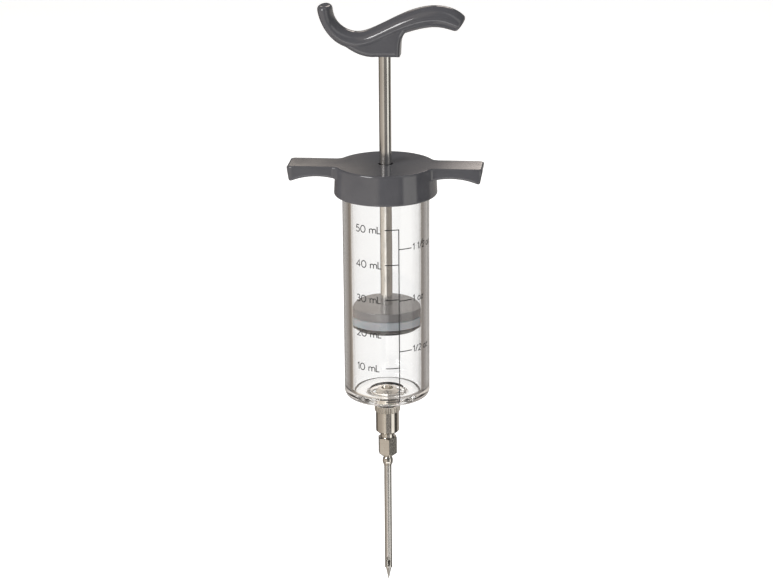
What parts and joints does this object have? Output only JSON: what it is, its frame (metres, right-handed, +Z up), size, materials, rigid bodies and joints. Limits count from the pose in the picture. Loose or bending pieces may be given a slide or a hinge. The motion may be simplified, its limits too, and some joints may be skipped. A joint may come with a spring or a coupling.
{
  "type": "meat injector",
  "caption": "Hand-held marinade injector: clear graduated barrel, dark finger-grip cap, steel plunger rod with a wavy moulded handle, and a screwed-on steel needle with a side port",
  "frame": {"origin": "the needle's tip, on the barrel's axis, at the lowest point of the upright injector", "axes": "+Z up the barrel's axis from the needle to the handle, +X along the right finger grip and the handle's right arm, +Y to the back, away from the side that carries the scale"},
  "size_m": [0.0804, 0.0426, 0.2545],
  "materials": {
    "clear_plastic": "clear moulded plastic, glossy",
    "black_print": "printed ink",
    "nickel_plate": "nickel-plated, turned",
    "stainless_steel": "polished stainless steel",
    "black_rubber": "soft black rubber",
    "white_seal": "white sealing plastic",
    "dark_plastic": "glossy dark grey moulded plastic",
    "grey_plastic": "grey moulded plastic",
    "silicone": "light grey silicone",
    "brass": "turned brass"
  },
  "bodies": {
    "barrel": {"barrel": "clear_plastic", "scale_print": "black_print", "outlet_fitting": "nickel_plate", "outlet_seal": "black_rubber"},
    "cap": {"cap": "dark_plastic"},
    "seal": {"piston_seal": "silicone"},
    "plunger": {"piston_top_plate": "grey_plastic", "piston_bottom_plate": "grey_plastic", "piston_washer": "stainless_steel", "piston_nut": "stainless_steel", "plunger_rod": "stainless_steel", "handle_insert": "brass", "handle": "dark_plastic"},
    "gasket": {"hub_gasket": "black_rubber"},
    "adapter": {"needle_adapter": "nickel_plate"},
    "needle_seal": {"needle_washer": "white_seal"},
    "needle": {"needle_hub": "nickel_plate", "needle_tube": "stainless_steel", "needle_point": "stainless_steel"}
  },
  "joints": [
    {"name": "cap_turn", "type": "hinge", "parent": "barrel", "child": "cap", "pos_m": [0, 0, 0.18], "axis": [0, 0, 1], "range_deg": [0, 50]},
    {"name": "plunger_slide", "type": "slide", "parent": "barrel", "child": "seal", "axis": [0, 0, 1], "range_m": [-0.028, 0.057]},
    {"name": "plunger_turn", "type": "hinge", "parent": "seal", "child": "plunger", "pos_m": [0, 0, 0.12], "axis": [0, 0, 1], "continuous": true},
    {"name": "adapter_lead", "type": "slide", "parent": "barrel", "child": "gasket", "axis": [0, 0, -1], "range_m": [0, 0.006]},
    {"name": "adapter_turn", "type": "hinge", "parent": "gasket", "child": "adapter", "pos_m": [0, 0, 0.08], "axis": [0, 0, -1], "range_deg": [0, 2160]},
    {"name": "needle_lead", "type": "slide", "parent": "adapter", "child": "needle_seal", "axis": [0, 0, -1], "range_m": [0, 0.0036]},
    {"name": "needle_turn", "type": "hinge", "parent": "needle_seal", "child": "needle", "pos_m": [0, 0, 0.07], "axis": [0, 0, -1], "range_deg": [0, 1620]}
  ],
  "couplings": [
    {"joint": "adapter_turn", "follows": "adapter_lead", "rad_per_m": 6283},
    {"joint": "needle_turn", "follows": "needle_lead", "rad_per_m": 7853}
  ]
}
